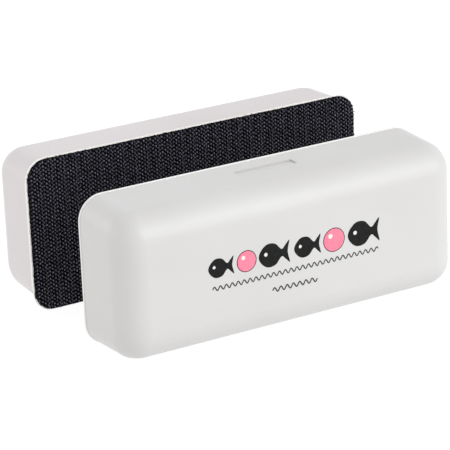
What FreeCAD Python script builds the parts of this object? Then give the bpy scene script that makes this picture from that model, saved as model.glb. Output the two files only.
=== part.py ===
import FreeCAD, Part
import math
import os
import Sketcher

# Magnetic glass cleaner: a handle half that stays outside the glass and a float half that
# scrubs inside it, standing face to face on their long sides.
# Frame: +X along the halves, +Y from the handle half to the float half, +Z up, millimetres.
# Origin: on the supporting surface, midway along the halves and midway between their pads.

V = FreeCAD.Vector
doc = FreeCAD.newDocument("magnetic_glass_cleaner")

# ---------------------------------------------------------------- driving dimensions
SIZES = [
    # the outside of a half
    ("half_length", "140"),
    ("half_height", "56"),
    ("half_depth", "30"),
    ("flange_radius", "9.3"),
    ("flange_thickness", "1"),
    ("flange_overhang", "0.3"),
    ("flange_edge_round", "0.35"),
    # the moulded shell
    ("draft_angle", "1.6"),
    ("front_round", "10.5"),
    ("wall", "2.5"),
    ("seam_gap", "0.2"),
    ("seam_inset", "0.12"),
    # the blank identification recess on top of the handle shell
    ("recess_length", "23.8"),
    ("recess_width", "4.8"),
    ("recess_depth", "0.5"),
    ("recess_from_base", "10.2"),
    # ribs inside the base plate
    ("rim_clearance", "0.15"),
    ("rib_thickness", "1.6"),
    ("rim_rise", "4"),
    # magnet packs: four blocks in a row, poles alternating, under a steel yoke plate
    ("magnet_count", "4"),
    ("magnet_gap", "0.6"),
    ("handle_magnet_length", "30"),
    ("handle_magnet_height", "40"),
    ("handle_magnet_depth", "10"),
    ("handle_yoke_depth", "1.5"),
    ("float_magnet_length", "26"),
    ("float_magnet_height", "32"),
    ("float_magnet_depth", "6"),
    ("float_yoke_depth", "1"),
    ("pocket_clearance", "0.3"),
    ("magnet_chamfer", "0.6"),
    # foam that holds the pack against the base plate
    ("foam_clearance", "0.4"),
    ("foam_inset", "9"),
    ("foam_round", "3"),
    # pads and the adhesive film behind them
    ("film_thickness", "0.2"),
    ("film_inset", "0.6"),
    ("scrub_pad_length", "139.4"),
    ("scrub_pad_height", "57.9"),
    ("scrub_pad_radius", "7.5"),
    ("scrub_pad_drop", "0.3"),
    ("scrub_pad_thickness", "2"),
    ("felt_pad_length", "136"),
    ("felt_pad_height", "53"),
    ("felt_pad_radius", "7"),
    ("felt_pad_thickness", "1.5"),
    # the two halves at rest
    ("rest_gap", "41"),
]

DERIVED = [
    ("mouth_length", "=half_length - 2 * flange_overhang"),
    ("mouth_height", "=half_height - 2 * flange_overhang"),
    ("mouth_radius", "=flange_radius - flange_overhang"),
    ("shell_depth", "=half_depth - flange_thickness - seam_gap"),
    ("cavity_length", "=mouth_length - 2 * wall"),
    ("cavity_height", "=mouth_height - 2 * wall"),
    ("cavity_radius", "=mouth_radius - wall"),
    ("cavity_depth", "=shell_depth - wall"),
    ("cavity_round", "=front_round - wall"),
    ("rim_length", "=cavity_length - 2 * rim_clearance"),
    ("rim_height", "=cavity_height - 2 * rim_clearance"),
    ("rim_radius", "=cavity_radius - rim_clearance"),
    ("shell_start", "=flange_thickness + seam_gap"),
    ("half_plane", "=rest_gap / 2"),
    # the handle half stands on its flange, the float half on the lower edge of its pad
    ("handle_centre", "=half_height / 2"),
    ("float_centre", "=scrub_pad_height / 2 + scrub_pad_drop"),
]


def fill_sheet(rows):
    """A spreadsheet with one alias per row, in the order given."""
    sheet = doc.addObject("Spreadsheet::Sheet", "Sizes")
    for number, (alias, content) in enumerate(rows, start=1):
        sheet.set("A%d" % number, alias)
        sheet.set("B%d" % number, content)
        sheet.setAlias("B%d" % number, alias)
    doc.recompute()
    return sheet


def pack_rows(half):
    """Sizes that follow from one half's own magnets."""
    return [
        (half + "_pitch", "=%s_magnet_length + magnet_gap" % half),
        (half + "_pack_length", "=magnet_count * %s_pitch - magnet_gap" % half),
        (half + "_pocket_length", "=%s_pack_length + 2 * pocket_clearance" % half),
        (half + "_pocket_height", "=%s_magnet_height + 2 * pocket_clearance" % half),
        (half + "_yoke_start", "=flange_thickness + %s_magnet_depth" % half),
        (half + "_foam_start", "=%s_yoke_start + %s_yoke_depth" % (half, half)),
        (half + "_foam_depth", "=half_depth - wall - foam_clearance - %s_foam_start" % half),
    ]


sizes = fill_sheet(SIZES + DERIVED + pack_rows("handle") + pack_rows("float"))


def cell(alias):
    return "Sizes." + alias


# ---------------------------------------------------------------- sketches and features
def new_body(label):
    body = doc.addObject("PartDesign::Body", label)
    body.Label = label
    return body


def origin_plane(body, role):
    return [f for f in body.Origin.OriginFeatures if f.Role == role][0]


def drive(sketch, name, constraint, expression):
    """Adds a named dimension whose value comes from the sheet."""
    index = sketch.addConstraint(constraint)
    sketch.renameConstraint(index, name)
    sketch.setExpression("Constraints." + name, expression)


def add_rounded_rectangle(sketch, name, length, height, radius):
    """A centred rounded rectangle whose length, height and radius are sheet expressions."""
    half_x, half_y, corner = 20.0, 10.0, 2.0
    first = sketch.GeometryCount
    ends = [
        (V(-half_x + corner, -half_y, 0), V(half_x - corner, -half_y, 0)),
        (V(half_x, -half_y + corner, 0), V(half_x, half_y - corner, 0)),
        (V(half_x - corner, half_y, 0), V(-half_x + corner, half_y, 0)),
        (V(-half_x, half_y - corner, 0), V(-half_x, -half_y + corner, 0)),
    ]
    for start, end in ends:
        sketch.addGeometry(Part.LineSegment(start, end), False)
    quarter = math.pi / 2
    for number, (x, y) in enumerate([(1, -1), (1, 1), (-1, 1), (-1, -1)]):
        centre = V(x * (half_x - corner), y * (half_y - corner), 0)
        circle = Part.Circle(centre, V(0, 0, 1), corner)
        start = (number - 1) * quarter
        sketch.addGeometry(Part.ArcOfCircle(circle, start, start + quarter), False)
    for number in range(4):
        arc = first + 4 + number
        sketch.addConstraint(Sketcher.Constraint("Tangent", first + number, 2, arc, 1))
        sketch.addConstraint(
            Sketcher.Constraint("Tangent", arc, 2, first + (number + 1) % 4, 1))
        if number:
            sketch.addConstraint(Sketcher.Constraint("Equal", first + 4, arc))
    for number in (0, 2):
        sketch.addConstraint(Sketcher.Constraint("Horizontal", first + number))
        sketch.addConstraint(Sketcher.Constraint("Vertical", first + number + 1))
    # opposite corner centres mirror about the sketch origin
    sketch.addConstraint(Sketcher.Constraint("Symmetric", first + 4, 3, first + 6, 3, -1, 1))
    drive(sketch, name + "_length",
          Sketcher.Constraint("DistanceX", first + 3, 1, first + 1, 1, 2 * half_x), length)
    drive(sketch, name + "_height",
          Sketcher.Constraint("DistanceY", first, 1, first + 2, 1, 2 * half_y), height)
    drive(sketch, name + "_radius", Sketcher.Constraint("Radius", first + 4, corner), radius)


def add_rectangle(sketch, name, length, height):
    """A centred rectangle with sharp corners."""
    half_x, half_y = 20.0, 10.0
    corners = [V(-half_x, -half_y, 0), V(half_x, -half_y, 0),
               V(half_x, half_y, 0), V(-half_x, half_y, 0)]
    for start, end in zip(corners, corners[1:] + corners[:1]):
        sketch.addGeometry(Part.LineSegment(start, end), False)
    for number in range(4):
        sketch.addConstraint(
            Sketcher.Constraint("Coincident", number, 2, (number + 1) % 4, 1))
        direction = "Vertical" if number % 2 else "Horizontal"
        sketch.addConstraint(Sketcher.Constraint(direction, number))
    sketch.addConstraint(Sketcher.Constraint("Symmetric", 0, 1, 1, 2, -1, 1))
    drive(sketch, name + "_length", Sketcher.Constraint("DistanceX", 0, 1, 0, 2, 2 * half_x), length)
    drive(sketch, name + "_height", Sketcher.Constraint("DistanceY", 1, 1, 1, 2, 2 * half_y), height)


def across_sketch(body, label, offset="0"):
    """An empty sketch across the half, its plane `offset` in front of the body's own zero."""
    sketch = body.newObject("Sketcher::SketchObject", label)
    sketch.AttachmentSupport = [(origin_plane(body, "XZ_Plane"), "")]
    sketch.MapMode = "FlatFace"
    sketch.setExpression("AttachmentOffset.Base.z", offset)
    return sketch


def outline_sketch(body, label, outlines, offset="0"):
    """Rounded rectangles in one sketch across the half."""
    sketch = across_sketch(body, label, offset)
    for name, length, height, radius in outlines:
        add_rounded_rectangle(sketch, name, length, height, radius)
    return sketch


def extrude(body, kind, sketch, depth, taper=None):
    """Pads or pockets the sketch's area, `depth` towards the front of the half."""
    feature = body.newObject("PartDesign::" + kind, sketch.Name + "_" + kind.lower())
    feature.Profile = sketch
    feature.Reversed = kind == "Pocket"
    feature.setExpression("Length", depth)
    if taper:
        feature.setExpression("TaperAngle", taper)
    doc.recompute()
    return feature


def pad(body, sketch, depth, taper=None):
    return extrude(body, "Pad", sketch, depth, taper)


def edges_at(shape, depth):
    """Names of the edges that lie wholly in the plane `depth` in front of zero."""
    names = []
    for number, edge in enumerate(shape.Edges, start=1):
        box = edge.BoundBox
        if abs(box.YMin + depth) < 1e-4 and abs(box.YMax + depth) < 1e-4:
            names.append("Edge%d" % number)
    return names


def corner_edges(shape, length):
    """Names of the four edges that run forward from the corners of a mouth this long."""
    names = []
    for number, edge in enumerate(shape.Edges, start=1):
        box = edge.BoundBox
        reach = max(abs(box.XMin), abs(box.XMax))
        if abs(box.YMax) < 1e-4 and box.YLength > 1 and abs(reach - length / 2) < 0.1:
            names.append("Edge%d" % number)
    assert len(names) == 4, "a mouth has four corners"
    return names


def dress(body, kind, base, names, property_name, expression):
    feature = body.newObject("PartDesign::" + kind, base.Name + "_" + kind.lower())
    feature.Base = (base, names)
    feature.setExpression(property_name, expression)
    doc.recompute()
    return feature


def value(alias):
    return float(sizes.get(alias))


# ---------------------------------------------------------------- the pieces of a half
def round_box(body, base, depth, length, front_round, corner_round):
    """Rounds the front edges of a drafted box, then its four corners, which the smaller
    round carries on across the front round up to the flat of the front."""
    front = dress(body, "Fillet", base, edges_at(base.Shape, value(depth)),
                  "Radius", cell(front_round))
    return dress(body, "Fillet", front, corner_edges(front.Shape, value(length)),
                 "Radius", cell(corner_round))


def make_shell(half):
    """Hollow moulded cover: drafted walls, large round to the front, open at the back."""
    body = new_body(half + "_shell")
    mouth = across_sketch(body, half + "_mouth")
    add_rectangle(mouth, "mouth", cell("mouth_length"), cell("mouth_height"))
    block = pad(body, mouth, cell("shell_depth"), "-Sizes.draft_angle")
    block_volume = block.Shape.Volume
    hollow = across_sketch(body, half + "_cavity")
    add_rectangle(hollow, "cavity", cell("cavity_length"), cell("cavity_height"))
    cavity = extrude(body, "Pocket", hollow, cell("cavity_depth"), "-Sizes.draft_angle")
    assert cavity.Shape.Volume < 0.4 * block_volume, "the cavity was not cut"
    inside = round_box(body, cavity, "cavity_depth", "cavity_length",
                       "cavity_round", "cavity_radius")
    round_box(body, inside, "shell_depth", "mouth_length", "front_round", "mouth_radius")
    return body


def add_recess(body):
    """The shallow blank identification recess in the top of the handle shell."""
    before = body.Shape.Volume
    sketch = body.newObject("Sketcher::SketchObject", "recess")
    sketch.AttachmentSupport = [(origin_plane(body, "XY_Plane"), "")]
    sketch.MapMode = "FlatFace"
    sketch.setExpression("AttachmentOffset.Base.y", "Sizes.shell_start - Sizes.recess_from_base")
    sketch.setExpression("AttachmentOffset.Base.z", "Sizes.mouth_height / 2")
    add_rounded_rectangle(sketch, "recess", cell("recess_length"), cell("recess_width"),
                          "Sizes.recess_width / 6")
    pocket = body.newObject("PartDesign::Pocket", "recess_pocket")
    pocket.Profile = sketch
    pocket.setExpression(
        "Length", "Sizes.recess_depth + Sizes.recess_from_base * tan(Sizes.draft_angle * 1deg)")
    doc.recompute()
    assert body.Shape.Volume < before - 10, "the recess was not cut"


def make_base_plate(half):
    """Flanged plate that closes the shell, with a locating rim and a magnet pocket."""
    body = new_body(half + "_base_plate")
    flange = outline_sketch(
        body, half + "_flange",
        [("flange", cell("half_length"), cell("half_height"), cell("flange_radius"))])
    plate = pad(body, flange, cell("flange_thickness"))
    edges = edges_at(plate.Shape, 0) + edges_at(plate.Shape, value("flange_thickness"))
    dress(body, "Fillet", plate, edges, "Radius", cell("flange_edge_round"))
    rim = outline_sketch(
        body, half + "_rim",
        [("outer", cell("rim_length"), cell("rim_height"), cell("rim_radius")),
         ("inner", "Sizes.rim_length - 2 * Sizes.rib_thickness",
          "Sizes.rim_height - 2 * Sizes.rib_thickness",
          "Sizes.rim_radius - Sizes.rib_thickness")],
        cell("flange_thickness"))
    pad(body, rim, cell("rim_rise"))
    pocket_length = cell(half + "_pocket_length")
    pocket_height = cell(half + "_pocket_height")
    ribs = outline_sketch(
        body, half + "_ribs",
        [("outer", pocket_length + " + 2 * Sizes.rib_thickness",
          pocket_height + " + 2 * Sizes.rib_thickness", "2 * Sizes.magnet_chamfer"),
         ("inner", pocket_length, pocket_height, "Sizes.magnet_chamfer / 2")],
        cell("flange_thickness"))
    pad(body, ribs, cell("rim_rise"))
    return body


def make_seal_bead(half):
    """The line of cement that seals the shell's lip to the flange."""
    body = new_body(half + "_seal_bead")
    ring = outline_sketch(
        body, half + "_bead",
        [("outer", "Sizes.mouth_length - 2 * Sizes.seam_inset",
          "Sizes.mouth_height - 2 * Sizes.seam_inset",
          "Sizes.mouth_radius - Sizes.seam_inset"),
         ("inner", cell("cavity_length"), cell("cavity_height"), cell("cavity_radius"))])
    pad(body, ring, cell("seam_gap"))
    return body


def make_slab(label, length, height, radius, depth, round_radius=None):
    """A rounded slab; with round_radius its front and back edges are rounded too."""
    body = new_body(label)
    sketch = outline_sketch(body, label + "_outline", [("slab", length, height, radius)])
    slab = pad(body, sketch, depth)
    if round_radius:
        back_and_front = edges_at(slab.Shape, 0) + edges_at(slab.Shape, slab.Length.Value)
        dress(body, "Fillet", slab, back_and_front, "Radius", round_radius)
    return body


def make_magnet(half, number):
    """One ceramic block with chamfered edges."""
    body = new_body("%s_magnet_%d" % (half, number))
    sketch = outline_sketch(
        body, body.Name + "_outline",
        [("block", cell(half + "_magnet_length"), cell(half + "_magnet_height"),
          "Sizes.magnet_chamfer")])
    block = pad(body, sketch, cell(half + "_magnet_depth"))
    faces = edges_at(block.Shape, 0) + edges_at(block.Shape, block.Length.Value)
    dress(body, "Chamfer", block, faces, "Size", "Sizes.magnet_chamfer / 2")
    return body


# ---------------------------------------------------------------- where each piece goes
def place(body, half, start, along="0", drop="0"):
    """Stands a piece in its half. start is its depth in front of the base plate's outer
    face, along its place along the half, and drop how far it sits below the half's centre,
    all sheet expressions."""
    if half == "handle":
        body.Placement = FreeCAD.Placement(V(0, 0, 0), FreeCAD.Rotation(V(0, 0, 1), 0))
        outward, sign = "-(Sizes.half_plane + (%s))", ""
    else:
        body.Placement = FreeCAD.Placement(V(0, 0, 0), FreeCAD.Rotation(V(0, 0, 1), 180))
        outward, sign = "Sizes.half_plane + (%s)", "-"
    body.setExpression("Placement.Base.x", "%s(%s)" % (sign, along))
    body.setExpression("Placement.Base.y", outward % start)
    body.setExpression("Placement.Base.z", cell(half + "_centre") + " - " + drop)
    return body


def make_half(half):
    """Everything in a half but its pad."""
    yoke_start, foam_start = cell(half + "_yoke_start"), cell(half + "_foam_start")
    pieces = [
        place(make_shell(half), half, cell("shell_start")),
        place(make_base_plate(half), half, "0"),
        place(make_seal_bead(half), half, cell("flange_thickness")),
    ]
    yoke = make_slab(half + "_yoke_plate", cell(half + "_pack_length"),
                     cell(half + "_magnet_height"), "2 * Sizes.magnet_chamfer",
                     cell(half + "_yoke_depth"), "Sizes.magnet_chamfer / 3")
    pieces.append(place(yoke, half, yoke_start))
    foam = make_slab(half + "_foam_block", "Sizes.rim_length - 2 * Sizes.foam_inset",
                     "Sizes.rim_height - 2 * Sizes.foam_inset", cell("foam_round"),
                     cell(half + "_foam_depth"), "Sizes.foam_round / 2")
    pieces.append(place(foam, half, foam_start))
    count = int(value("magnet_count"))
    for number in range(1, count + 1):
        along = "(%d - (Sizes.magnet_count + 1) / 2) * Sizes.%s_pitch" % (number, half)
        pieces.append(place(make_magnet(half, number), half, cell("flange_thickness"), along))
    return pieces


def make_pad(half, label, kind, edge_round, drop="0"):
    """A pad and the adhesive film that holds it on the base plate."""
    sides = [cell("%s_pad_%s" % (kind, word)) for word in ("length", "height", "radius")]
    film = make_slab(half + "_pad_adhesive", sides[0] + " - 2 * Sizes.film_inset",
                     sides[1] + " - 2 * Sizes.film_inset", sides[2] + " - Sizes.film_inset",
                     cell("film_thickness"))
    thickness = cell(kind + "_pad_thickness")
    pad_body = make_slab(label, *sides, thickness, edge_round)
    return [
        place(film, half, "-" + cell("film_thickness"), drop=drop),
        place(pad_body, half, "-(Sizes.film_thickness + %s)" % thickness, drop=drop),
    ]


pieces = make_half("handle") + make_pad("handle", "handle_felt_pad", "felt", "0.4")
pieces += make_half("float")
pieces += make_pad("float", "float_scrub_pad", "scrub", "0.3", cell("scrub_pad_drop"))
add_recess(doc.getObject("handle_shell"))
doc.recompute()


# ---------------------------------------------------------------- check and write
def check_and_write(bodies):
    for item in doc.Objects:
        bad = {"Invalid", "Error"} & set(item.State)
        assert not bad, "%s is %s" % (item.Name, ", ".join(sorted(bad)))
    os.makedirs("parts", exist_ok=True)
    for body in bodies:
        shape = body.Shape
        assert not shape.isNull() and shape.isValid(), body.Label + " has no valid shape"
        assert len(shape.Solids) == 1, body.Label + " is not one solid"
        shape.exportStep("parts/%s.step" % body.Label)
        print("%-20s %9.2f mm3" % (body.Label, shape.Volume))


check_and_write(pieces)
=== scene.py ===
"""Looks of the magnetic glass cleaner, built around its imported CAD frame. Metres throughout."""

import math
import random

import bpy
import numpy as np
from mathutils import Matrix, Vector


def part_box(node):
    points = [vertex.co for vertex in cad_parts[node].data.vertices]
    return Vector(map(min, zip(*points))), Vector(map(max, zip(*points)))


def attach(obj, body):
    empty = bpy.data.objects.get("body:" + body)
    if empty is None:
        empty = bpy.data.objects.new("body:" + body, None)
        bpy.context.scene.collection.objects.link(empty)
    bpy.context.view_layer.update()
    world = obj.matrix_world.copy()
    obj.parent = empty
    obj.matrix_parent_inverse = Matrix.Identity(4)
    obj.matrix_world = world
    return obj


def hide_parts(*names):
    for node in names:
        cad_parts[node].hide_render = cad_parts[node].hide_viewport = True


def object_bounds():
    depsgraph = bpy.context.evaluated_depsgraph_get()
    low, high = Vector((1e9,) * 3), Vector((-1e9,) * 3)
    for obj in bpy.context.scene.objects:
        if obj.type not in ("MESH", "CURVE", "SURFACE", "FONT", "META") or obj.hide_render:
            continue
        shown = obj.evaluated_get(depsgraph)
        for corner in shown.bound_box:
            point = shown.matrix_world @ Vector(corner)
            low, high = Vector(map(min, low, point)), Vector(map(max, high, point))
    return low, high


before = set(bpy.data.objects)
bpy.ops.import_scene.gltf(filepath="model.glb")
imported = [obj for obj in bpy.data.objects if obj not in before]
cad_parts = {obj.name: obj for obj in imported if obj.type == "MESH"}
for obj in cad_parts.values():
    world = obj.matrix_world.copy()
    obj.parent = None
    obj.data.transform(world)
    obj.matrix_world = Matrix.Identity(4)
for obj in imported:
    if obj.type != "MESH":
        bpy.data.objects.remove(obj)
cad_low, cad_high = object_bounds()

MM = 0.001
HANDLE, FLOAT = "handle_half", "float_half"

# the scrub pad's weave: five columns of hooks in each repeat, where each stands in it, how far up
# its row it starts, and which way its hooks lean (1 right, -1 left)
WEAVE_REPEAT = 4.88 * MM
COLUMN_PLACE = (0.0, 0.228, 0.453, 0.670, 0.788)
ROW_SHIFT = (0.775, 0.246, 0.680, 0.098, 0.582)
LEAN = (1, 1, 1, -1, -1)
# the weave's strongest waves, in cycles per repeat along the pad and per row up it
WEAVE_WAVES = ((-2, 1), (2, 1), (3, 1), (4, 0))
# the hooks: their row spacing, thickness, reach to either side and lean from the pad's length
HOOK_ROW = 1.49 * MM
HOOK_THICK = 0.42 * MM
HOOK_REACH = 0.62 * MM
HOOK_TURN = 1.15
# a hook from root to tip, as shares of its reach and of its height
HOOK_PROFILE = ((-0.40, -0.12), (-0.47, 0.45), (-0.30, 0.86), (0.02, 1.0), (0.33, 0.84), (0.42, 0.52))
HOOK_JITTER = 0.13 * MM
HOOK_MARGIN = 0.46 * MM
# the scrub pad's cloth, its share of the pad's thickness, and its cut edge
GROUND_SHARE = 0.70
GROUND_INSET = 0.11 * MM
GROUND_STEP = 0.33 * MM
GROUND_ROUND = 0.45 * MM
PIT_DEPTH = 1.0 * MM
PAD_RADIUS = 7.5 * MM
RAGGED = 0.10 * MM
FRINGE_COUNT = 420
FRINGE_THICK = 0.22 * MM
# the foam tape behind it, from inside the cloth's edge to outside it
BACKING_PROUD = 0.35 * MM
BACKING_SUNK = 0.25 * MM
BACKING_THICK = 0.45 * MM
# the felt pad, and the loose fibres on its face
FELT_RADIUS = 7.0 * MM
FELT_INSET = 0.1 * MM
FELT_NAP = 0.25 * MM
FELT_FUZZ = 0.09 * MM
FIBRE_COUNT = 2600
FIBRE_THICK = 0.12 * MM
FIBRE_MARGIN = 1.8 * MM
# the foam blocks
FOAM_RADIUS = 3 * MM
FOAM_INSET = 0.2 * MM
FOAM_SLACK = 0.3 * MM
FOAM_CROWN = 0.4 * MM
FOAM_PORES = 0.08 * MM


# ---------------------------------------------------------------- material nodes
def new_material(name, **constants):
    """A node material and its shader. Constants go straight on the shader's own sockets."""
    material = bpy.data.materials.new(name)
    material.use_nodes = True
    shader = material.node_tree.nodes["Principled BSDF"]
    for socket, value in constants.items():
        shader.inputs[socket.replace("_", " ")].default_value = value
    return material, material.node_tree, shader


def add(tree, kind, inputs=None, **settings):
    node = tree.nodes.new(kind)
    for key, value in settings.items():
        setattr(node, key, value)
    for key, value in (inputs or {}).items():
        if isinstance(value, bpy.types.NodeSocket):
            tree.links.new(value, node.inputs[key])
        else:
            node.inputs[key].default_value = value
    return node


def place_of(tree):
    """Coordinates that stay with the piece."""
    return add(tree, "ShaderNodeTexCoord").outputs["Object"]


def noise(tree, scale, detail=2.0, roughness=0.5, vector=None, stretch=None):
    vector = vector or place_of(tree)
    if stretch:
        vector = add(tree, "ShaderNodeMapping", {"Vector": vector, "Scale": stretch}).outputs[0]
    node = add(tree, "ShaderNodeTexNoise", {
        "Vector": vector, "Scale": scale, "Detail": detail, "Roughness": roughness})
    return node.outputs["Fac"]


def cells(tree, scale, feature="F1", randomness=1.0):
    node = add(tree, "ShaderNodeTexVoronoi", {
        "Vector": place_of(tree), "Scale": scale, "Randomness": randomness}, feature=feature)
    return node.outputs["Distance"]


def ramp(tree, value, stops):
    """Colours at places along value, from 0 to 1."""
    node = add(tree, "ShaderNodeValToRGB", {"Fac": value})
    elements = node.color_ramp.elements
    while len(elements) < len(stops):
        elements.new(0.5)
    for element, (place, colour) in zip(elements, stops):
        element.position = place
        element.color = (*colour, 1.0)
    return node.outputs["Color"]


def spread(tree, value, low, high):
    """value from 0..1 to low..high."""
    return add(tree, "ShaderNodeMapRange", {
        "Value": value, "To Min": low, "To Max": high}).outputs["Result"]


def bump(tree, height, distance, strength=1.0, normal=None):
    inputs = {"Height": height, "Distance": distance, "Strength": strength}
    if normal:
        inputs["Normal"] = normal
    return add(tree, "ShaderNodeBump", inputs).outputs["Normal"]


def mix(tree, factor, first, second):
    node = tree.nodes.new("ShaderNodeMix")
    node.data_type = "RGBA"
    for index, value in ((0, factor), (6, first), (7, second)):
        if isinstance(value, bpy.types.NodeSocket):
            tree.links.new(value, node.inputs[index])
        elif index:
            node.inputs[index].default_value = (*value, 1.0)
        else:
            node.inputs[index].default_value = value
    return node.outputs[2]


def moulded_plastic(name, shade, tint, gloss):
    """Injection moulded plastic: faint flow clouds, satin grain and the odd rubbed speck."""
    material, tree, shader = new_material(name, IOR=1.49)
    clouds = noise(tree, 22, 3, stretch=(1, 1, 1.6))
    colour = ramp(tree, clouds, [(0.30, shade), (0.70, tint)])
    specks = noise(tree, 900, 2, 0.6)
    colour = mix(tree, ramp(tree, specks, [(0.73, (0, 0, 0)), (0.80, (0.25, 0.25, 0.25))]),
                 colour, tuple(0.82 * c for c in shade))
    tree.links.new(colour, shader.inputs["Base Color"])
    grain = noise(tree, 420, 4, 0.55)
    tree.links.new(spread(tree, grain, gloss - 0.05, gloss + 0.07), shader.inputs["Roughness"])
    waves = bump(tree, noise(tree, 60, 1), 0.06 * MM, 0.5)
    tree.links.new(bump(tree, noise(tree, 2600, 2), 0.012 * MM, 0.5, waves),
                   shader.inputs["Normal"])
    return material


def clouds(scale, detail=2.0, roughness=0.5, stretch=None):
    """A noise to be drawn in a material's tree."""
    return lambda tree: noise(tree, scale, detail, roughness, stretch=stretch)


def grains(scale):
    return lambda tree: cells(tree, scale)


def surface(name, pattern, stops, relief=None, depth=0.0, strength=0.5, gloss=None, **constants):
    """A material coloured by one pattern, raised by a second and, if gloss is given as a pattern
    and two roughnesses, made uneven in gloss by a third."""
    material, tree, shader = new_material(name, **constants)
    tree.links.new(ramp(tree, pattern(tree), stops), shader.inputs["Base Color"])
    if gloss:
        uneven, low, high = gloss
        tree.links.new(spread(tree, uneven(tree), low, high), shader.inputs["Roughness"])
    if relief:
        tree.links.new(bump(tree, relief(tree), depth, strength), shader.inputs["Normal"])
    return material


def seal_cement():
    """Slightly yellow, lumpy."""
    return surface("seal_cement", clouds(300, 4),
                   [(0.3, (0.36, 0.35, 0.32)), (0.7, (0.46, 0.45, 0.41))],
                   clouds(500, 3), 0.1 * MM, 0.6, Roughness=0.45, IOR=1.5)


def yoke_steel():
    """Zinc plated, rolled along its length."""
    rolled = clouds(900, 4, 0.6, stretch=(0.03, 1, 1))
    return surface("yoke_steel", rolled, [(0.25, (0.46, 0.46, 0.44)), (0.75, (0.64, 0.64, 0.62))],
                   rolled, 0.01 * MM, gloss=(clouds(120, 3), 0.28, 0.48),
                   Metallic=1.0, Anisotropic=0.5)


def magnet_ferrite():
    """Ground ceramic."""
    return surface("magnet_ferrite", grains(2200),
                   [(0.1, (0.020, 0.020, 0.023)), (0.7, (0.045, 0.045, 0.048))],
                   clouds(700, 3, 0.6, stretch=(1, 1, 0.04)), 0.02 * MM,
                   gloss=(clouds(300, 4), 0.5, 0.8), IOR=1.9)


def open_foam():
    pores = grains(1100)
    # The pores are painted dark at their middles and pale between them: painted shade in the holes,
    # which the same pattern sinks.
    return surface("foam", pores, [(0.0, (0.30, 0.28, 0.22)), (0.45, (0.76, 0.73, 0.65))],
                   pores, 0.4 * MM, 0.8, Roughness=0.95)


def adhesive_film():
    """Fibres in a clear glue."""
    fibres = clouds(1500, 5, 0.7, stretch=(0.2, 1, 1))
    return surface("adhesive_film", fibres,
                   [(0.35, (0.50, 0.50, 0.47)), (0.65, (0.70, 0.69, 0.66))],
                   fibres, 0.02 * MM, Roughness=0.3)


def needled_felt():
    """Black, blotchy where its fibres bunch."""
    material, tree, shader = new_material("felt", Roughness=0.95, Sheen_Weight=0.10,
                                          Sheen_Roughness=0.5, Specular_IOR_Level=0.2)
    tangle = noise(tree, 1100, 6, 0.75, stretch=(1, 1, 0.6))
    fibres = ramp(tree, tangle, [(0.34, (0.003, 0.003, 0.004)), (0.66, (0.050, 0.050, 0.054))])
    bunches = ramp(tree, noise(tree, 260, 3, 0.6), [(0.40, (0, 0, 0)), (0.66, (0.75, 0.75, 0.75))])
    tree.links.new(mix(tree, bunches, fibres, (0.005, 0.005, 0.007)), shader.inputs["Base Color"])
    tree.links.new(bump(tree, tangle, 0.35 * MM, 0.9), shader.inputs["Normal"])
    return material


def felt_fibres():
    return surface("felt_fibres", clouds(300, 3),
                   [(0.35, (0.012, 0.012, 0.015)), (0.7, (0.085, 0.085, 0.092))],
                   Roughness=0.6, Sheen_Weight=0.1)


def scrub_ground():
    """Bluish black threads, painted near-black with depth below the cloth's face as painted shade: at
    the bottom of the cloth's pits, down its cut edge and on the fringe that shares this look.
    """
    material, tree, shader = new_material("scrub_ground", Roughness=0.75, Specular_IOR_Level=0.08)
    threads = noise(tree, 2400, 4, 0.65)
    lit = ramp(tree, threads, [(0.30, (0.006, 0.006, 0.010)), (0.75, (0.102, 0.098, 0.134))])
    low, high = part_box("float_scrub_pad")
    top = high.y - (high.y - low.y) * GROUND_SHARE
    across = add(tree, "ShaderNodeSeparateXYZ", {"Vector": place_of(tree)}).outputs["Y"]
    # painted shade: below the cloth's face the colour is mixed to near-black over 0.3 mm of depth
    depth = add(tree, "ShaderNodeMapRange", {
        "Value": across, "From Min": top, "From Max": top + 0.3 * MM}).outputs["Result"]
    tree.links.new(mix(tree, depth, lit, (0.001, 0.001, 0.001)), shader.inputs["Base Color"])
    tree.links.new(bump(tree, threads, 0.12 * MM, 0.8), shader.inputs["Normal"])
    return material


def scrub_backing():
    """The foam tape behind the scrub pad."""
    return surface("scrub_backing", clouds(900, 3),
                   [(0.3, (0.86, 0.83, 0.79)), (0.7, (0.93, 0.91, 0.88))],
                   clouds(1500, 2), 0.05 * MM, Roughness=0.7)


def hook_nylon(name, gloss, dark, light):
    return surface(name, clouds(800, 3, 0.6), [(0.38, dark), (0.66, light)],
                   Roughness=gloss, IOR=1.53)


def print_ink(name, dark, light):
    return surface(name, clouds(700, 3), [(0.3, dark), (0.7, light)],
                   clouds(3000, 2), 0.006 * MM, Roughness=0.55, Specular_IOR_Level=0.12)


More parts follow.
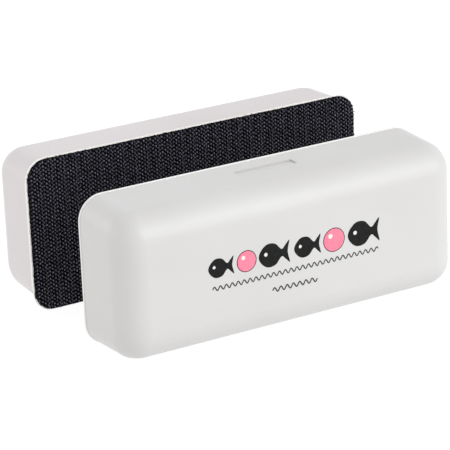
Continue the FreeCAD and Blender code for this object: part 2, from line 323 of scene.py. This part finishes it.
def make_materials():
    return {
        "shell": moulded_plastic("shell_plastic", (0.540, 0.533, 0.526), (0.567, 0.560, 0.555), 0.34),
        "float_shell": moulded_plastic("float_shell_plastic", (0.572, 0.539, 0.542),
                                       (0.599, 0.566, 0.569), 0.34),
        # The base plate's plastic is painted paler than the shells', as a painted highlight for the
        # light that its rim strip round the pad catches.
        "base": moulded_plastic("base_plastic", (0.74, 0.725, 0.71), (0.77, 0.76, 0.745), 0.38),
        "cement": seal_cement(),
        "steel": yoke_steel(),
        "ferrite": magnet_ferrite(),
        "foam": open_foam(),
        "film": adhesive_film(),
        "felt": needled_felt(),
        "felt_fibres": felt_fibres(),
        "ground": scrub_ground(),
        "backing": scrub_backing(),
        # Painted light: the hooks are one nylon in a lit and a shaded copy, painted lighter where
        # they lean right as a painted glint on their curved backs, and darker where they lean left as
        # painted shade on their open sides.
        "hooks_right_lit": hook_nylon("scrub_hooks_right", 0.25, (0.020, 0.018, 0.031),
                                  (0.185, 0.178, 0.228)),
        "hooks_left_shaded": hook_nylon("scrub_hooks_left", 0.35, (0.016, 0.015, 0.025),
                                 (0.132, 0.127, 0.163)),
        "ink_black": print_ink("ink_black", (0.005, 0.006, 0.005), (0.011, 0.012, 0.011)),
        "ink_pink": print_ink("ink_pink", (0.80, 0.19, 0.27), (0.88, 0.23, 0.32)),
        "ink_grey": print_ink("ink_grey", (0.020, 0.020, 0.020), (0.050, 0.050, 0.050)),
        "ink_white": print_ink("ink_white", (0.66, 0.65, 0.64), (0.72, 0.71, 0.70)),
    }


MATERIALS = make_materials()

CAD_LOOKS = {
    "shell": "shell", "base_plate": "base", "seal_bead": "cement", "yoke_plate": "steel",
    "pad_adhesive": "film", "magnet_1": "ferrite", "magnet_2": "ferrite",
    "magnet_3": "ferrite", "magnet_4": "ferrite",
}


def dress_cad():
    """Gives each kept CAD node its material; the float half's cover has one of its own."""
    for half in ("handle", "float"):
        for piece, look in CAD_LOOKS.items():
            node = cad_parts["%s_%s" % (half, piece)]
            node.data.materials.clear()
            node.data.materials.append(MATERIALS.get("%s_%s" % (half, look), MATERIALS[look]))


# ---------------------------------------------------------------- meshes
def mesh_object(name, points, faces, look, smooth=True):
    mesh = bpy.data.meshes.new(name)
    mesh.from_pydata([tuple(p) for p in points], [], faces)
    mesh.validate()
    mesh.update()
    if smooth:
        mesh.polygons.foreach_set("use_smooth", [True] * len(mesh.polygons))
    mesh.materials.append(MATERIALS[look])
    made = bpy.data.objects.new(name, mesh)
    bpy.context.scene.collection.objects.link(made)
    return made


def rounded_grid(length, height, radius, step):
    """x and z of a grid over a centred rounded rectangle, its corners fanned round the arcs."""
    columns, rows = round(length / step), round(height / step)
    x, z = np.meshgrid(np.linspace(-length / 2, length / 2, columns + 1),
                       np.linspace(-height / 2, height / 2, rows + 1))
    over_x = np.abs(x) - (length / 2 - radius)
    over_z = np.abs(z) - (height / 2 - radius)
    corner = (over_x > 0) & (over_z > 0)
    shrink = np.where(corner, np.maximum(over_x, over_z) / np.hypot(over_x, over_z), 1)
    x = np.where(corner, np.sign(x) * (length / 2 - radius + over_x * shrink), x)
    z = np.where(corner, np.sign(z) * (height / 2 - radius + over_z * shrink), z)
    return x, z


def inside_by(x, z, length, height, radius):
    """How far a point is inside the rounded rectangle's outline."""
    over_x = np.abs(x) - (length / 2 - radius)
    over_z = np.abs(z) - (height / 2 - radius)
    outside = np.hypot(np.maximum(over_x, 0), np.maximum(over_z, 0))
    return radius - outside - np.minimum(np.maximum(over_x, over_z), 0)


def edge_ring(rows, columns):
    """Grid indices once round its edge."""
    index = np.arange(rows * columns).reshape(rows, columns)
    return np.concatenate([index[0, :-1], index[:-1, -1], index[-1, :0:-1], index[:0:-1, 0]])


def push_out(edge, away):
    """Moves points outwards in x and z by the distances in away."""
    size = np.hypot(edge[:, 0], edge[:, 2])
    return edge + np.stack([edge[:, 0] / size, 0 * size, edge[:, 2] / size], -1) * away[:, None]


def slab(name, length, height, radius, thickness, step, look, relief, edge_round, wobble,
         wall_rows=3):
    """A closed slab over a rounded rectangle, lying in x and z, its back at y 0 and its worked
    face at y = thickness. relief(x, z) lifts the face, and wobble(x, z) pushes out its edge."""
    x, z = rounded_grid(length, height, radius, step)
    inside = inside_by(x, z, length, height, radius)
    into = np.clip(edge_round - inside, 0, edge_round)
    drop = edge_round - np.sqrt(np.maximum(edge_round ** 2 - into ** 2, 0))
    fade = np.clip(inside / (2 * step), 0, 1)
    y = thickness - drop + relief(x, z) * fade
    rows, columns = x.shape
    face = np.stack([x, y, z], -1).reshape(-1, 3)
    ring = edge_ring(rows, columns)
    edge = push_out(face[ring], wobble(face[ring, 0], face[ring, 2]))
    face[ring] = edge
    index = np.arange(rows * columns).reshape(rows, columns)
    quads = np.stack([index[:-1, :-1], index[1:, :-1], index[1:, 1:], index[:-1, 1:]], -1)
    points, faces = [face], quads.reshape(-1, 4).tolist()
    previous = ring
    for row in range(1, wall_rows + 1):
        level = edge.copy()
        level[:, 1] = edge[:, 1] * (1 - row / wall_rows)
        points.append(level)
        current = rows * columns + (row - 1) * len(ring) + np.arange(len(ring))
        faces += np.stack([previous, np.roll(previous, -1), np.roll(current, -1), current],
                          -1).tolist()
        previous = current
    faces.append(previous.tolist())
    return mesh_object(name, np.concatenate(points), faces, look)


def stand(piece, back_y, centre_z, towards):
    """Moves a piece made at y 0 to its place, its worked face towards +Y (1) or -Y (-1)."""
    co = np.empty(len(piece.data.vertices) * 3)
    piece.data.vertices.foreach_get("co", co)
    co = co.reshape(-1, 3)
    co[:, 1] = back_y + towards * co[:, 1]
    co[:, 2] += centre_z
    piece.data.vertices.foreach_set("co", co.ravel())
    if towards < 0:
        piece.data.flip_normals()
    piece.data.update()
    return piece


def size_of(node):
    """A node's lowest and highest corners and its size."""
    low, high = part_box(node)
    return low, high, high - low


def waves(seed, longest, shortest, count):
    """A smooth random function of two coordinates, as a sum of cosines; about -1 to 1."""
    chance = random.Random(seed)
    parts = []
    for _ in range(count):
        length = longest * (shortest / longest) ** chance.random()
        angle = chance.random() * math.tau
        parts.append((math.tau / length * math.cos(angle), math.tau / length * math.sin(angle),
                      chance.random() * math.tau, chance.uniform(0.5, 1)))
    total = math.sqrt(sum(p[3] ** 2 for p in parts))

    def height(x, z):
        return sum(p[3] * np.cos(p[0] * x + p[1] * z + p[2]) for p in parts) / total
    return height


# ---------------------------------------------------------------- the pads
def weave_waves():
    """The hooks' own pattern as its strongest waves, which peak at the hooks: each wave's cycles
    per metre in x and z, size and phase."""
    found = []
    for across, up in WEAVE_WAVES:
        total = sum(np.exp(-1j * math.tau * (across * place + up * shift))
                    for place, shift in zip(COLUMN_PLACE, ROW_SHIFT))
        found.append((across / WEAVE_REPEAT, up / HOOK_ROW, abs(total), np.angle(total)))
    return found


def make_scrub_ground():
    """The cloth, with pits between the hooks. Returns its thickness."""
    low, high, size = size_of("float_scrub_pad")
    thick = size.y * GROUND_SHARE
    strongest = weave_waves()
    full = 0.6 * sum(wave[2] for wave in strongest)

    def weave(x, z):
        picks = sum(share * np.cos(math.tau * (across * x + up * z) + turn)
                    for across, up, share, turn in strongest) / full
        return -PIT_DEPTH * np.clip(0.35 - picks, 0, 1) ** 1.5
    ragged = waves(5, 4 * MM, 0.8 * MM, 14)
    piece = slab("scrub_pad", size.x - 2 * GROUND_INSET, size.z - 2 * GROUND_INSET, PAD_RADIUS,
                 thick, GROUND_STEP, "ground", weave, GROUND_ROUND,
                 lambda x, z: RAGGED * np.clip(ragged(x, z), -1, 1))
    stand(piece, high.y, (low.z + high.z) / 2, -1)
    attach(piece, FLOAT)
    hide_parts("float_scrub_pad")
    return thick


def rounded_ring(length, height, radius, out, centre_z, floor_z, y, steps=24):
    """Points once round a rounded rectangle grown by out, none of them below floor_z."""
    ring = []
    for turn, x, z in ((0, 1, 1), (1, -1, 1), (2, -1, -1), (3, 1, -1)):
        for k in range(steps + 1):
            a = (turn + k / steps) * math.pi / 2
            up = centre_z + z * (height / 2 - radius) + (radius + out) * math.sin(a)
            ring.append((x * (length / 2 - radius) + (radius + out) * math.cos(a), y,
                         max(up, floor_z)))
    return ring


def make_backing():
    """The pale edge of the scrub pad's foam tape, showing round the black cloth."""
    low, high, size = size_of("float_scrub_pad")
    front, back = high.y - BACKING_THICK, high.y
    rings = [rounded_ring(size.x, size.z, PAD_RADIUS, out, (low.z + high.z) / 2,
                          low.z + 0.02 * MM, y)
             for out, y in ((-BACKING_SUNK, front), (BACKING_PROUD, front),
                            (BACKING_PROUD, back), (-BACKING_SUNK, back))]
    total = len(rings[0])
    faces = []
    for r in range(4):
        for k in range(total):
            n, m = (k + 1) % total, (r + 1) % 4
            faces.append([r * total + n, r * total + k, m * total + k, m * total + n])
    piece = mesh_object("scrub_pad_backing", [p for ring in rings for p in ring], faces, "backing",
                        smooth=False)
    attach(piece, FLOAT)


def tube_rings(path, across, radius, sides):
    """Vertices round each point of each path. path and across are (paths, points, 3)."""
    along = np.gradient(path, axis=1)
    along /= np.linalg.norm(along, axis=2, keepdims=True)
    third = np.cross(along, across)
    third /= np.linalg.norm(third, axis=2, keepdims=True)
    rings = []
    for k in range(sides):
        a = math.tau * (k + 0.5) / sides
        rings.append(path + radius * (math.cos(a) * third + math.sin(a) * across))
    return np.stack(rings, 2)


def tube_faces(tubes, points, sides):
    """Faces of closed tubes whose vertices tube_rings gives."""
    base = np.arange(tubes)[:, None, None] * points * sides
    step = np.arange(points - 1)[None, :, None] * sides
    k = np.arange(sides)[None, None, :]
    n = (k + 1) % sides
    a, b = base + step + k, base + step + n
    quads = np.stack([b, a, a + sides, b + sides], -1).reshape(-1, 4)
    first = base[:, 0, 0][:, None] + np.arange(sides)[None]
    last = base[:, 0, 0][:, None] + (points - 1) * sides + np.arange(sides)[::-1][None]
    return quads.tolist() + first.tolist() + last.tolist()


def hook_spots(side, size):
    """Where the hooks that lean to one side stand, in x and z from the pad's middle."""
    repeats = int(size.x / WEAVE_REPEAT / 2) + 1
    rows = int(size.z / HOOK_ROW / 2) + 1
    spots = []
    for i in range(-repeats, repeats + 1):
        for place, shift, lean in zip(COLUMN_PLACE, ROW_SHIFT, LEAN):
            for j in range(-rows, rows + 1):
                x, z = (i + place) * WEAVE_REPEAT, (j + shift) * HOOK_ROW
                if lean == side and inside_by(x, z, size.x, size.z, PAD_RADIUS) > HOOK_MARGIN:
                    spots.append((x, z))
    return np.array(spots)


def make_hooks(ground, side, look, seed):
    """The nylon hooks that lean to one side (1 right, -1 left)."""
    low, high, size = size_of("float_scrub_pad")
    tall = size.y - ground - 0.02 * MM
    profile = np.array(HOOK_PROFILE)
    chance = np.random.RandomState(seed)
    spots = hook_spots(side, size)
    total = len(spots)
    spots += chance.uniform(-HOOK_JITTER, HOOK_JITTER, (total, 2))
    turn = side * HOOK_TURN + chance.uniform(-0.5, 0.5, total)
    grow = chance.uniform(0.75, 1.0, total)
    reach = profile[None, :, 0] * HOOK_REACH * side
    rise = profile[None, :, 1] * (tall - HOOK_THICK / 2) * grow[:, None]
    path = np.stack([
        spots[:, :1] + reach * np.cos(turn)[:, None],
        ground + rise,
        spots[:, 1:] + reach * np.sin(turn)[:, None]], -1)
    sideways = np.stack([-np.sin(turn), 0 * turn, np.cos(turn)], -1)[:, None, :]
    sides = 4
    rings = tube_rings(path, np.broadcast_to(sideways, path.shape), HOOK_THICK / 2, sides)
    piece = mesh_object("scrub_pad_" + look, rings.reshape(-1, 3),
                        tube_faces(total, len(profile), sides), look)
    stand(piece, high.y, (low.z + high.z) / 2, -1)
    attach(piece, FLOAT)


def make_fringe(ground):
    """Cut threads standing out of the scrub pad's edge, shorter at its foot."""
    low, high, size = size_of("float_scrub_pad")
    chance = random.Random(17)
    paths, sideways = [], []
    while len(paths) < FRINGE_COUNT:
        x = chance.uniform(-0.5, 0.5) * size.x
        z = chance.uniform(-0.5, 0.5) * size.z
        depth = inside_by(x, z, size.x, size.z, PAD_RADIUS)
        if not 0.25 * MM < depth < 0.6 * MM:
            continue
        step = 0.01 * MM
        out = Vector((depth - inside_by(x + step, z, size.x, size.z, PAD_RADIUS), 0,
                      depth - inside_by(x, z + step, size.x, size.z, PAD_RADIUS))).normalized()
        side = Vector((out.z, 0, -out.x)) * chance.uniform(-0.8, 0.8)
        length = chance.uniform(0.40, 0.78) * MM
        reach = length * (0.35 if out.z < -0.3 else 1)
        start = Vector((x, chance.uniform(0.35, 0.95) * ground, z))
        lift = Vector((0, chance.uniform(-0.2, 0.5) * length, 0))
        paths.append([start, start + (out + side * 0.3) * reach * 0.6 + lift * 0.3,
                      start + (out * 0.8 + side) * reach + lift])
        sideways.append(Vector((-out.z, 0, out.x)))
    paths = np.array(paths)
    paths[:, :, 2] = np.maximum(paths[:, :, 2], (FRINGE_THICK - size.z) / 2)
    across = np.broadcast_to(np.array(sideways)[:, None, :], paths.shape)
    points, sides = paths.shape[1], 4
    rings = tube_rings(paths, across, FRINGE_THICK / 2, sides)
    piece = mesh_object("scrub_pad_fringe", rings.reshape(-1, 3),
                        tube_faces(len(paths), points, sides), "ground")
    stand(piece, high.y, (low.z + high.z) / 2, -1)
    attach(piece, FLOAT)


def make_felt_pad():
    """The felt. Returns its thickness and its face's relief."""
    low, high, size = size_of("handle_felt_pad")
    fuzz = waves(23, 4 * MM, 1.3 * MM, 24)
    broad = waves(29, 30 * MM, 12 * MM, 8)
    thick = size.y - FELT_NAP

    def nap(x, z):
        return np.clip(0.07 * fuzz(x, z) + 0.03 * broad(x, z), -0.2, 0.2) * MM
    piece = slab("felt_pad", size.x - 2 * FELT_INSET, size.z - 2 * FELT_INSET, FELT_RADIUS, thick,
                 0.6 * MM, "felt", nap, 0.5 * MM,
                 lambda x, z: FELT_FUZZ * np.clip(fuzz(x, z), -1, 1))
    stand(piece, low.y, (low.z + high.z) / 2, 1)
    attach(piece, HANDLE)
    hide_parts("handle_felt_pad")
    return thick, nap


def make_felt_fibres(thick, nap):
    """Loose fibres lying on the felt's face, each a shallow arc half sunk at both ends."""
    low, high, size = size_of("handle_felt_pad")
    chance = np.random.RandomState(31)
    x = chance.uniform(-0.5, 0.5, 2 * FIBRE_COUNT) * size.x
    z = chance.uniform(-0.5, 0.5, 2 * FIBRE_COUNT) * size.z
    kept = inside_by(x, z, size.x, size.z, FELT_RADIUS) > FIBRE_MARGIN
    x, z = x[kept][:FIBRE_COUNT], z[kept][:FIBRE_COUNT]
    turn = chance.uniform(0, math.tau, len(x))
    half = chance.uniform(0.5, 1.4, len(x)) * MM
    bend = chance.uniform(-0.5, 0.5, len(x)) * half
    points = []
    for t in (-1, -0.5, 0, 0.5, 1):
        px = x + t * half * np.cos(turn) - (1 - t * t) * bend * np.sin(turn)
        pz = z + t * half * np.sin(turn) + (1 - t * t) * bend * np.cos(turn)
        rise = 0.08 * MM * (1 - t * t) - 0.05 * MM * t * t
        points.append(np.stack([px, thick + nap(px, pz) + rise, pz], -1))
    path = np.stack(points, 1)
    sideways = np.stack([-np.sin(turn), 0 * turn, np.cos(turn)], -1)[:, None, :]
    sides = 3
    rings = tube_rings(path, np.broadcast_to(sideways, path.shape), FIBRE_THICK / 2, sides)
    piece = mesh_object("felt_fibres", rings.reshape(-1, 3),
                        tube_faces(len(x), path.shape[1], sides), "felt_fibres")
    stand(piece, low.y, (low.z + high.z) / 2, 1)
    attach(piece, HANDLE)


def make_foam(half, body, towards, seed):
    """A foam block, a little crowned, with open pores on its face."""
    node = half + "_foam_block"
    low, high, size = size_of(node)
    pores = waves(seed, 3.2 * MM, 1.4 * MM, 30)

    def crown(x, z):
        full = (1 - (2 * x / size.x) ** 6) * (1 - (2 * z / size.z) ** 6)
        return (full - 1) * FOAM_CROWN + FOAM_PORES * pores(x, z)
    piece = slab(half + "_foam", size.x - 2 * FOAM_INSET, size.z - 2 * FOAM_INSET, FOAM_RADIUS,
                 size.y - FOAM_SLACK, 1.0 * MM, "foam", crown, 1.2 * MM,
                 lambda x, z: 0.1 * MM * pores(x, z), wall_rows=6)
    stand(piece, high.y if towards < 0 else low.y, (low.z + high.z) / 2, towards)
    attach(piece, body)
    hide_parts(node)


# ---------------------------------------------------------------- the printed mark
INK_PROUD = 0.03 * MM
INK_SUNK = 0.02 * MM


def prisms(name, outlines, look, layer=1):
    """Thin raised ink over each closed outline of (x, z) on the handle shell's front face. Each
    layer stands on the one below."""
    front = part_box("handle_shell")[0].y
    proud = INK_PROUD * layer
    points, faces = [], []
    for outline in outlines:
        start, count = len(points), len(outline)
        points += [(x, front - proud, z) for x, z in outline]
        points += [(x, front + INK_SUNK, z) for x, z in outline]
        faces.append(list(range(start, start + count)))
        faces.append(list(range(start + 2 * count - 1, start + count - 1, -1)))
        for k in range(count):
            n = (k + 1) % count
            faces.append([start + k, start + count + k, start + count + n, start + n])
    piece = mesh_object(name, points, faces, look, smooth=False)
    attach(piece, HANDLE)
    return piece


def disc(x, z, radius, count=48):
    return [(x + radius * math.cos(math.tau * k / count),
             z + radius * math.sin(math.tau * k / count)) for k in range(count)]


def stroke(line, width):
    """Outline of a line drawn with a round pen."""
    line = [Vector(p) for p in line]
    left, right = [], []
    for k, point in enumerate(line):
        ahead = line[min(k + 1, len(line) - 1)] - line[max(k - 1, 0)]
        side = Vector((-ahead.y, ahead.x)).normalized() * width / 2
        left.append(point + side)
        right.append(point - side)

    def cap(centre, start):
        """Half a turn, clockwise, from start."""
        arm = start - centre
        return [centre + Matrix.Rotation(-math.pi * k / 10, 2) @ arm for k in range(1, 10)]
    outline = left + cap(line[-1], left[-1]) + right[::-1] + cap(line[0], right[0])
    return [(p.x, p.y) for p in reversed(outline)]


# a plain fish of length 1, head to the left
FISH = [(-0.50, 0.00), (-0.42, 0.19), (-0.22, 0.34), (0.04, 0.31), (0.24, 0.11), (0.37, 0.21),
        (0.50, 0.32), (0.44, 0.00), (0.50, -0.32), (0.37, -0.21), (0.24, -0.11), (0.04, -0.31),
        (-0.22, -0.34), (-0.42, -0.19)]


def smooth_loop(points, steps=6):
    """A closed Catmull-Rom curve through points."""
    out = []
    count = len(points)
    for k in range(count):
        before, here, there, after = (points[(k + d) % count] for d in (-1, 0, 1, 2))
        for step in range(steps):
            t = step / steps
            out.append(tuple(0.5 * (2 * b + (c - a) * t + (2 * a - 5 * b + 4 * c - d) * t * t
                                    + (3 * b - 3 * c + d - a) * t ** 3)
                             for a, b, c, d in zip(before, here, there, after)))
    return out


def fish(x, z, length):
    return [(x + px * length, z + pz * length) for px, pz in reversed(smooth_loop(FISH))]


def ripple(start, end, z, swell, pitch, pen):
    """A thin wavy stroke."""
    count = int((end - start) / pitch * 10)
    line = [(start + (end - start) * k / count,
             z + swell * math.sin(math.tau * (end - start) * k / count / pitch))
            for k in range(count + 1)]
    return stroke(line, pen)


# the mark, in mm: its rise above the cover's middle, the fish and bubbles along it, each with its
# length or radius, and the ripples below, each with its two ends, drop, swell, pitch and pen
MARK_RISE = 2.6
SHOAL = ((-30.9, 10.2), (-9.4, 12.6), (4.3, 11.0), (27.9, 13.4))
BUBBLES = ((-20.6, 4.0), (15.4, 4.5))
BUBBLE_RIM = 0.3
RIPPLES = ((-34.5, 33.8, 7.4, 0.75, 2.4, 0.45), (-10.4, 7.9, 13.2, 0.8, 2.6, 0.5))
SMALL_DISC = 20


def make_mark():
    """A generic aquarium mark: four plain fish and two bubbles over two ripples."""
    low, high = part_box("handle_shell")
    level = (low.z + high.z) / 2 + MARK_RISE * MM
    prisms("mark_fish", [fish(x * MM, level, size * MM) for x, size in SHOAL], "ink_black")
    prisms("mark_eyes", [disc((x - 0.27 * size) * MM, level + 0.05 * size * MM,
                              0.055 * size * MM, SMALL_DISC) for x, size in SHOAL], "ink_white", 2)
    prisms("mark_rims", [disc(x * MM, level, r * MM) for x, r in BUBBLES], "ink_black")
    prisms("mark_bubbles", [disc(x * MM, level, (r - BUBBLE_RIM) * MM) for x, r in BUBBLES],
           "ink_pink", 2)
    prisms("mark_glints", [disc((x - 0.33 * r) * MM, level + 0.36 * r * MM, 0.2 * r * MM,
                                SMALL_DISC) for x, r in BUBBLES], "ink_white", 3)
    prisms("mark_ripples", [ripple(start * MM, end * MM, level - drop * MM, swell * MM, pitch * MM,
                                   pen * MM)
                            for start, end, drop, swell, pitch, pen in RIPPLES], "ink_grey")


# ---------------------------------------------------------------- light, floor and camera
def way_to(azimuth, elevation):
    """The unit vector towards an azimuth (0 in front, 90 right) and elevation, in degrees."""
    a, e = math.radians(azimuth), math.radians(elevation)
    return Vector((math.sin(a) * math.cos(e), -math.cos(a) * math.cos(e), math.sin(e)))


def area_light(name, centre, azimuth, elevation, distance, width, height, power, colour=(1, 1, 1)):
    """A soft box at an azimuth, elevation and distance from centre, facing it."""
    back = way_to(azimuth, elevation)
    data = bpy.data.lights.new(name, "AREA")
    data.shape, data.size, data.size_y = "RECTANGLE", width, height
    data.energy, data.color = power, colour
    light = bpy.data.objects.new(name, data)
    bpy.context.scene.collection.objects.link(light)
    light.location = Vector(centre) + back * distance
    light.rotation_mode = "QUATERNION"
    light.rotation_quaternion = back.to_track_quat("Z", "Y")
    return light


FLOOR_ALBEDO = 0.12
FLOOR_GLOW = 0.93
FLOOR_REACH = 15.0


def make_floor():
    """A white sweep that takes almost no shadow."""
    points = [(x * FLOOR_REACH, y * FLOOR_REACH, 0) for x, y in ((-1, -1), (1, -1), (1, 1), (-1, 1))]
    material, tree, shader = new_material("floor", Roughness=0.9)
    MATERIALS["floor"] = material
    shader.inputs["Base Color"].default_value = (FLOOR_ALBEDO, FLOOR_ALBEDO, FLOOR_ALBEDO, 1)
    shader.inputs["Specular IOR Level"].default_value = 0.0
    shader.inputs["Emission Color"].default_value = (1, 1, 1, 1)
    shader.inputs["Emission Strength"].default_value = FLOOR_GLOW
    floor = mesh_object("floor", points, [[0, 1, 2, 3]], "floor", smooth=False)


# the world's grey overhead, and the rises between which it turns from the horizon's white
WORLD = 0.91
HORIZON, OVERHEAD = 0.14, 0.34
# name, azimuth, elevation, distance, width, height, power, colour
LIGHTS = [
    ("key_low", 30, 18, 1.2, 1.1, 0.7, 5.0, (1, 1, 1)),
    ("key_high", 32, 38, 1.2, 1.1, 0.7, 2.9, (0.94, 0.97, 1)),
    ("left_back", -130, 15, 1.2, 1.1, 0.7, 2.5, (1, 0.93, 0.95)),
    ("back", 180, 30, 1.2, 1.1, 0.7, 0.8, (0.90, 0.94, 1)),
]


def light_up():
    """A pale world and the soft boxes."""
    scene = bpy.context.scene
    scene.world = bpy.data.worlds.new("studio")
    scene.world.use_nodes = True
    background = scene.world.node_tree.nodes["Background"]
    sky = scene.world.node_tree
    way = add(sky, "ShaderNodeTexCoord").outputs["Generated"]
    rise = add(sky, "ShaderNodeSeparateXYZ", {"Vector": way}).outputs["Z"]
    sky.links.new(ramp(sky, rise, [(HORIZON, (1, 1, 1)), (OVERHEAD, (WORLD, WORLD, WORLD))]),
                  background.inputs["Color"])
    scene.view_settings.view_transform = "Standard"
    centre = (cad_low + cad_high) / 2
    for name, *rest in LIGHTS:
        area_light(name, centre, *rest)


# degrees, metres, and a lens in mm on a 36 mm sensor
CAMERA_AZIMUTH = -29.45
CAMERA_ELEVATION = 19.83
CAMERA_ROLL = -2.46
CAMERA_DISTANCE = 0.8929
CAMERA_TARGET = Vector((-11.67, -20.5, 33.27)) * MM
CAMERA_LENS = 199.3
CAMERA_SENSOR = 36.0


def make_camera():
    back = way_to(CAMERA_AZIMUTH, CAMERA_ELEVATION)
    data = bpy.data.cameras.new("camera")
    data.lens, data.sensor_width = CAMERA_LENS, CAMERA_SENSOR
    data.clip_start, data.clip_end = 0.05, 60.0
    camera = bpy.data.objects.new("camera", data)
    bpy.context.scene.collection.objects.link(camera)
    roll = Matrix.Rotation(math.radians(CAMERA_ROLL), 3, "Z")
    turn = back.to_track_quat("Z", "Y").to_matrix() @ roll
    camera.matrix_world = Matrix.Translation(CAMERA_TARGET + back * CAMERA_DISTANCE) @ turn.to_4x4()
    bpy.context.scene.camera = camera


# ---------------------------------------------------------------- put together
dress_cad()
ground = make_scrub_ground()
make_hooks(ground, 1, "hooks_right_lit", 11)
make_hooks(ground, -1, "hooks_left_shaded", 13)
make_fringe(ground)
make_backing()
felt_thick, felt_nap = make_felt_pad()
make_felt_fibres(felt_thick, felt_nap)
make_foam("handle", HANDLE, -1, 41)
make_foam("float", FLOAT, 1, 43)
make_mark()
make_floor()
light_up()
make_camera()
